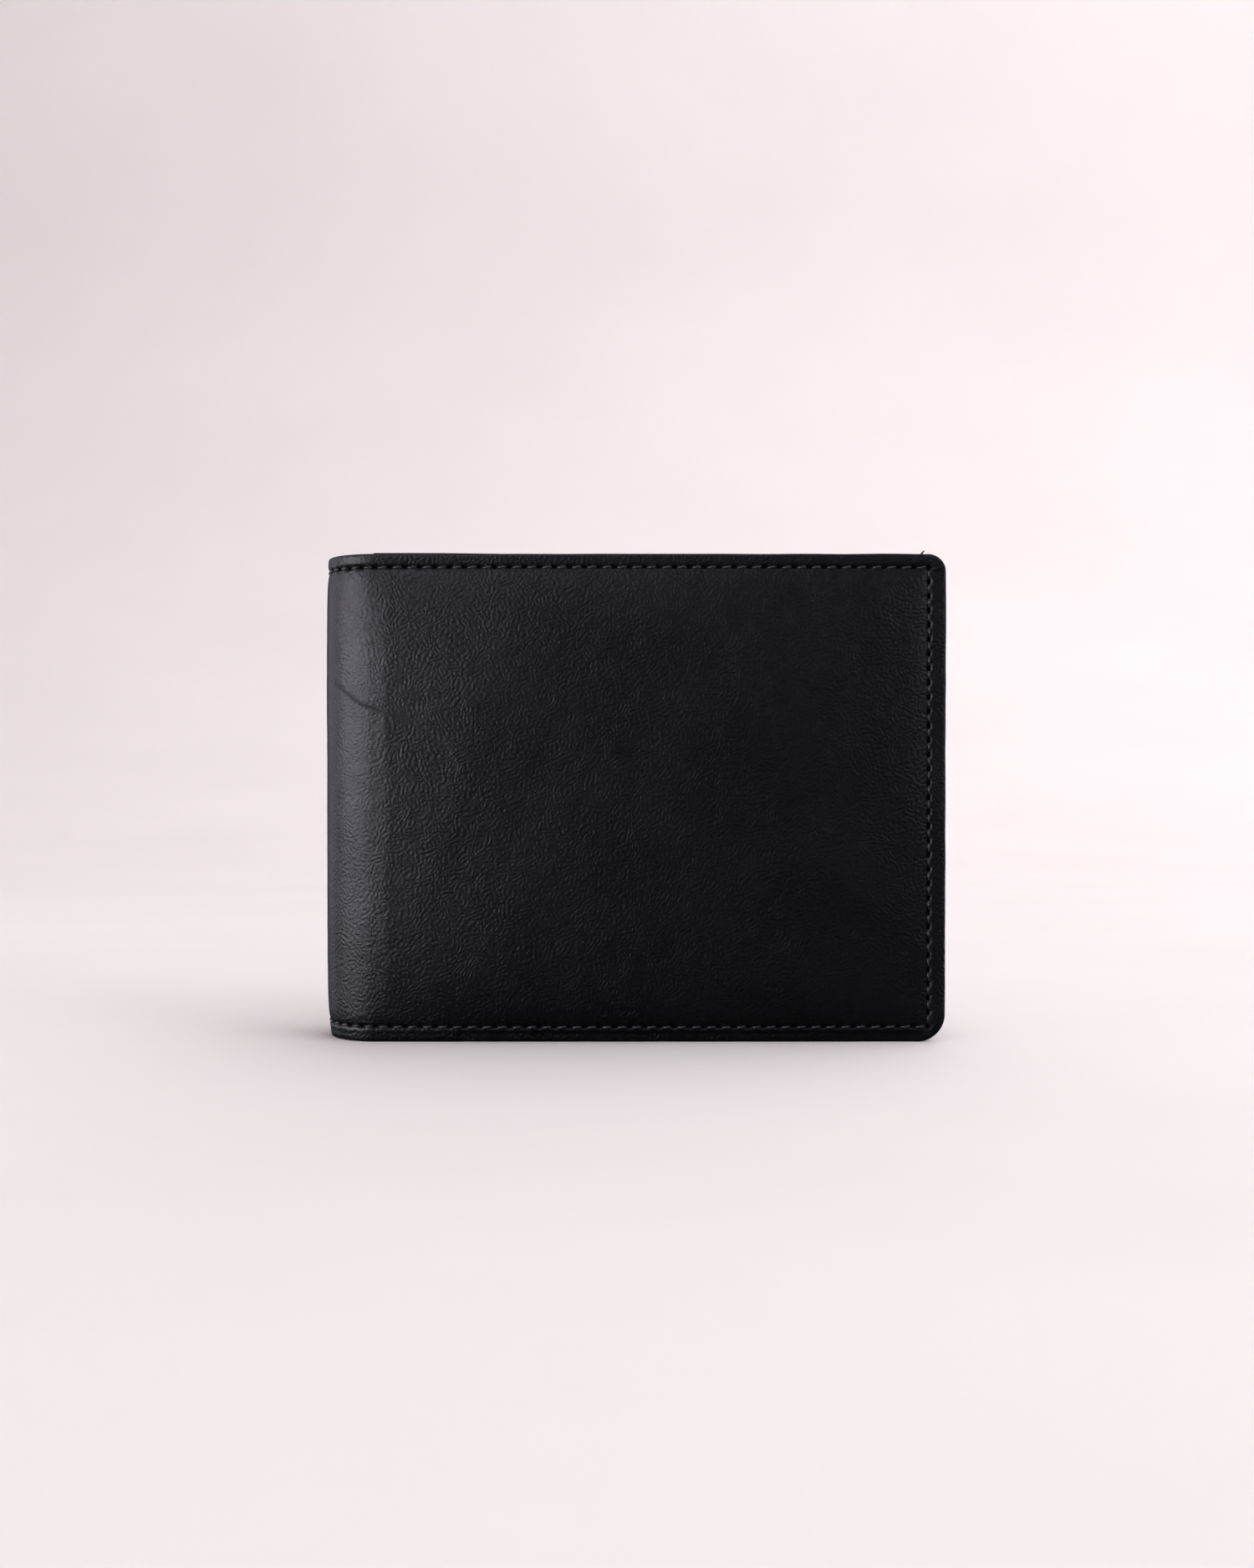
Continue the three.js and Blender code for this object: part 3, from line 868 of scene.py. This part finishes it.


def leather(name, dark, light, roughness, ridge_mm, relief, specular):
    """Fine-grained leather: ridges like a fingerprint's, pores, a slow mottle in tone, and painted shade in
    the needle slits and along the crease.
    """
    n = Nodes(name)
    place = n.attribute("leather_mm", "Vector")
    flow = n.vector("SUBTRACT", n.noise(place, 0.2, 1.0, "Color"), (0.5, 0.5, 0.5))
    flowing = n.vector("ADD", place, n.vector("MULTIPLY", flow, (3.0, 3.0, 0.0)))
    cells = GRAIN_CELL / ridge_mm
    ridges = n.math("MULTIPLY", n.ridges(flowing, cells, 1 / ridge_mm / cells), RIDGE_HIGH)
    pores = n.noise(place, 1.3 / ridge_mm, 3.0)
    strength = n.spread(n.noise(place, 0.06, 2.0), 0.6, 1.0)
    grain = n.math("MULTIPLY", ridges, strength)
    grain = n.math("ADD", grain, n.math("MULTIPLY", pores, 0.5))
    n.link(n.bump(grain, relief), n.shader.inputs["Normal"])
    mottle = n.spread(n.noise(place, 0.05, 3.0), 0.2, 0.8)
    colour = n.mix(n.math("ADD", mottle, n.math("MULTIPLY", ridges, 0.4)), (*dark, 1), (*light, 1))
    speck = n.remap(n.voronoi(place, 0.22), 0.028, 0.02)
    colour = n.mix(n.math("MULTIPLY", speck, 0.8), colour, PALE_SPECKS)
    mark = n.attribute("mark", "Fac")
    # Painted shade: the needle slits go near-black in the colour, and the crease a little darker.
    colour = n.mix(n.remap(mark, 0.12, 0.5), colour, SLIT_PAINTED_SHADE)
    n.link(colour, n.shader.inputs["Base Color"])
    dull = n.spread(n.noise(place, 0.07, 2.0), roughness - 0.03, roughness + 0.03)
    dull = n.math("ADD", dull, n.math("MULTIPLY", pores, 0.06))
    n.link(n.math("ADD", dull, n.remap(mark, 0.0, 0.3, 0.0, SLIT_DULL)), n.shader.inputs["Roughness"])
    n.shader.inputs["Specular IOR Level"].default_value = specular
    return n.material


def cloth(name, dark, light, twill_mm):
    """Twill lining: fine diagonal ribs, crossed by the threads of the weave."""
    n = Nodes(name)
    place = n.attribute("leather_mm", "Vector")
    split = n.add("ShaderNodeSeparateXYZ")
    n.link(place, split.inputs[0])
    u, z = split.outputs[0], split.outputs[1]
    turn = 2 * math.pi / twill_mm
    rib = n.math("SINE", n.math("MULTIPLY", n.math("ADD", u, z), turn))
    across = n.math("SUBTRACT", u, n.math("MULTIPLY", z, 0.35))
    weft = n.math("SINE", n.math("MULTIPLY", across, turn * 2))
    height = n.math("ADD", n.math("MULTIPLY", rib, 0.35), n.math("MULTIPLY", weft, 0.15))
    height = n.math("ADD", height, n.math("MULTIPLY", n.noise(place, 5.0, 2.0), 0.4))
    n.link(n.bump(height, 0.00006), n.shader.inputs["Normal"])
    tone = n.remap(height, -0.3, 0.7)
    n.link(n.mix(tone, (*dark, 1), (*light, 1)), n.shader.inputs["Base Color"])
    n.link(n.spread(n.noise(place, 0.4, 2.0), 0.72, 0.86), n.shader.inputs["Roughness"])
    n.shader.inputs["Sheen Weight"].default_value = 0.15
    n.shader.inputs["Specular IOR Level"].default_value = 0.2
    return n.material


def thread(name, dark, light):
    """Waxed black thread, its tone varying with a fine fibre noise."""
    n = Nodes(name)
    place = n.attribute("leather_mm", "Vector")
    fibre = n.noise(n.vector("MULTIPLY", place, (6.0, 6.0, 6.0)), 1.0, 3.0)
    n.link(n.mix(n.spread(fibre), (*dark, 1), (*light, 1)), n.shader.inputs["Base Color"])
    n.link(n.bump(fibre, 0.00004), n.shader.inputs["Normal"])
    n.link(n.spread(fibre, 0.38, 0.55), n.shader.inputs["Roughness"])
    n.shader.inputs["Specular IOR Level"].default_value = 0.5
    return n.material


def board(name):
    """Bonded-leather board: brown fibres pressed flat."""
    n = Nodes(name)
    where = n.add("ShaderNodeTexCoord").outputs["Object"]
    fibre = n.noise(n.vector("MULTIPLY", where, (900.0, 900.0, 400.0)), 1.0, 4.0)
    brown = n.mix(n.spread(fibre), (0.11, 0.07, 0.045, 1), (0.2, 0.135, 0.085, 1))
    n.link(brown, n.shader.inputs["Base Color"])
    n.link(n.bump(fibre, 0.0001), n.shader.inputs["Normal"])
    n.link(n.spread(fibre, 0.8, 0.9), n.shader.inputs["Roughness"])
    return n.material


cover_leather = leather("cover_leather", (0.0020, 0.0020, 0.0026), (0.0044, 0.0043, 0.0056),
                        roughness=0.39, ridge_mm=0.80, relief=0.00019, specular=0.34)
inner_leather = leather("inner_leather", (0.0046, 0.0046, 0.0052), (0.0105, 0.0103, 0.0115),
                        roughness=0.42, ridge_mm=0.66, relief=0.00012, specular=0.36)
lining_cloth = cloth("lining_cloth", (0.006, 0.006, 0.007), (0.018, 0.018, 0.02), 0.55)
black_thread = thread("black_thread", (0.012, 0.012, 0.0135), (0.030, 0.030, 0.033))
stiffener_board = board("stiffener_board")

# ---- The wallet ----
make_cover(cover_leather)
lining_top = box_mm("rear_cover_lining")[1][2]
cover_lining = across_fold("cover_lining", COARSE, lining_cloth, lining_top, lift=lining_ruck)
inner_lining = across_fold("inner_lining", COARSE, lining_cloth, WALL_TOP, ripple=WALL_RIPPLE)
across_fold("inner_facing", FINE, inner_leather, WALL_TOP, ripple=WALL_RIPPLE,
            mask_of=facing_mask, extra_u=(-FACING_TUCK_U, FACING_TUCK_U), extra_z=(WALL_TOP - FACING_BAND,))
for side in ("rear", "front"):
    slip_top = box_mm("rear_slip_panel")[1][2]
    slip = add_to_half(side, f"{side}_slip_panel_cloth", half_layer(side, "slip_panel", slip_top, rings=1),
                       lining_cloth, [f"{side}_slip_panel"])
    for slot in range(1, SLOTS + 1):
        card_slot(side, slot, inner_leather)
    pocket_thread(side, black_thread)
    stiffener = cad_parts[f"{side}_stiffener"]
    stiffener.data.materials.clear()
    stiffener.data.materials.append(stiffener_board)
seam_thread("seam_thread", lambda u, z: -cover_relief(u, z), 1, black_thread)
seam_thread("seam_thread_inside", inner_face, -1, black_thread)
thread_tail(black_thread)


# ---- Camera, floor and light ----
FRAME_HIGH = 278.8  # what the picture takes in at the wallet's front face, in mm
CAMERA_GAP = 262.0  # from that face to the camera
EYE = 49.0  # the camera's height
AIM_X, AIM_Z = -0.85, 46.05
SENSOR = 36.0


def make_camera():
    data = bpy.data.cameras.new("camera")
    data.sensor_width = SENSOR
    data.lens = SENSOR * CAMERA_GAP / FRAME_HIGH
    data.clip_start, data.clip_end = 0.01, 20
    camera = bpy.data.objects.new("camera", data)
    camera.location = Vector((AIM_X, -FOLD_R - CAMERA_GAP, EYE)) * MM
    aim = Vector((AIM_X, -FOLD_R, AIM_Z)) * MM
    camera.rotation_euler = (aim - camera.location).to_track_quat("-Z", "Y").to_euler()
    bpy.context.scene.collection.objects.link(camera)
    bpy.context.scene.camera = camera


def make_stage():
    """A pale floor that curves up into a wall all round."""
    side, back, front, corner, curve, top = 2.4, 0.92, -2.6, 0.95, 0.5, 2.4  # in metres
    corners = [(side, back, 0), (-side, back, 1), (-side, front, 2), (side, front, 3)]
    corner_steps = 12

    def ring(inset, height):
        points = []
        for x, y, quarter in corners:
            centre_x, centre_y = x - math.copysign(corner, x), y - math.copysign(corner, y)
            for step in range(corner_steps + 1):
                angle = math.pi / 2 * (quarter + step / corner_steps)
                points.append((centre_x + (corner - inset) * math.cos(angle),
                               centre_y + (corner - inset) * math.sin(angle), height))
        return points

    turns = np.linspace(0, math.pi / 2, 17).tolist()
    rings = [ring(curve * (1 - math.sin(turn)), curve * (1 - math.cos(turn))) for turn in turns]
    rings.append(ring(0, top))
    around = len(rings[0])
    faces = [tuple(range(around))]
    for level in range(len(rings) - 1):
        for k in range(around):
            after = (k + 1) % around
            faces.append((level * around + k, (level + 1) * around + k,
                          (level + 1) * around + after, level * around + after))
    mesh = bpy.data.meshes.new("stage")
    mesh.from_pydata([point for points in rings for point in points], [], faces)
    for polygon in mesh.polygons:
        polygon.use_smooth = True
    stage = bpy.data.objects.new("stage", mesh)
    bpy.context.scene.collection.objects.link(stage)
    n = Nodes("stage")
    where = n.add("ShaderNodeTexCoord").outputs["Object"]
    cloud = n.noise(n.vector("MULTIPLY", where, (6.0, 14.0, 6.0)), 1.0, 4.0)
    pale = n.mix(n.spread(cloud), (0.85, 0.803, 0.813, 1), (0.88, 0.832, 0.842, 1))
    n.link(pale, n.shader.inputs["Base Color"])
    n.shader.inputs["Roughness"].default_value = 0.75
    n.shader.inputs["Specular IOR Level"].default_value = 0.2
    mesh.materials.append(n.material)
    stage.visible_glossy = False


def area_light(name, place, aim, size, power, colour=(1, 1, 1), for_gloss=False):
    """A panel that lights either the room and the leather's own colour, or only its gloss."""
    data = bpy.data.lights.new(name, "AREA")
    data.shape = "RECTANGLE"
    data.size, data.size_y = size
    data.energy = power
    data.color = colour
    light = bpy.data.objects.new(name, data)
    light.location = place
    light.rotation_euler = (Vector(aim) - Vector(place)).to_track_quat("-Z", "Y").to_euler()
    light.visible_diffuse, light.visible_glossy = not for_gloss, for_gloss
    bpy.context.scene.collection.objects.link(light)


def sheen_light(name, turn, rise, size, power, colour):
    """A panel 1 m away that only glossy surfaces show, turned from -Y towards +X and raised, in degrees."""
    turn, rise = math.radians(turn), math.radians(rise)
    centre = Vector((0, 0, HEIGHT / 2 * MM))
    away = Vector((math.sin(turn) * math.cos(rise), -math.cos(turn) * math.cos(rise), math.sin(rise)))
    area_light(name, centre + away, centre, size, power, colour, for_gloss=True)


ROOM_LIGHTS = [  # place, aim, size and power
    ("key", (1.2, -0.25, 0.75), (0, 0, 0.04), (0.6, 0.6), 2.9),
    ("overhead", (0.5, 0.3, 1.87), (0.1, 0.3, 0), (2.2, 1.8), 23.0),
    ("wall_right", (1.1, -0.6, 1.0), (0.5, 0.9, 0.35), (0.8, 0.8), 4.2),
    ("wall_back", (0.5, 0.1, 1.3), (0.3, 0.92, 0.25), (1.0, 0.4), 1.8),
]
ROSE, BLUE = (0.905, 0.875, 1.0), (0.80, 0.815, 1.0)
SHEEN_LIGHTS = [  # turn, rise, size, power and tint of the panels that the leather's gloss reflects
    ("left_sheen", -44, 8, (0.25, 0.5), 5.1, ROSE),
    ("high_left_sheen", -28, 42, (0.3, 0.35), 1.9, BLUE),
    ("far_left_sheen", -70, 10, (0.45, 0.6), 7.4, ROSE),
    ("spine_sheen", -115, 8, (0.6, 0.8), 2.3, ROSE),
    ("right_sheen", 48, 20, (0.3, 0.4), 1.7, BLUE),
    ("far_right_sheen", 110, 8, (0.5, 0.8), 8.0, BLUE),
    ("top_sheen", 0, 89, (0.8, 0.6), 1.9, BLUE),
    ("back_sheen", 180, 20, (0.9, 0.9), 1.0, BLUE),
]


def make_lights():
    world = bpy.data.worlds.new("world")
    world.use_nodes = True
    background = world.node_tree.nodes["Background"]
    background.inputs["Color"].default_value = (1.0, 0.975, 0.98, 1)
    background.inputs["Strength"].default_value = 0.42
    world.cycles_visibility.glossy = False
    bpy.context.scene.world = world
    for name, place, aim, size, power in ROOM_LIGHTS:
        area_light(name, place, aim, size, power)
    for name, turn, rise, size, power, colour in SHEEN_LIGHTS:
        sheen_light(name, turn, rise, size, power, colour)


make_camera()
make_stage()
make_lights()
bpy.context.scene.view_settings.view_transform = "Standard"
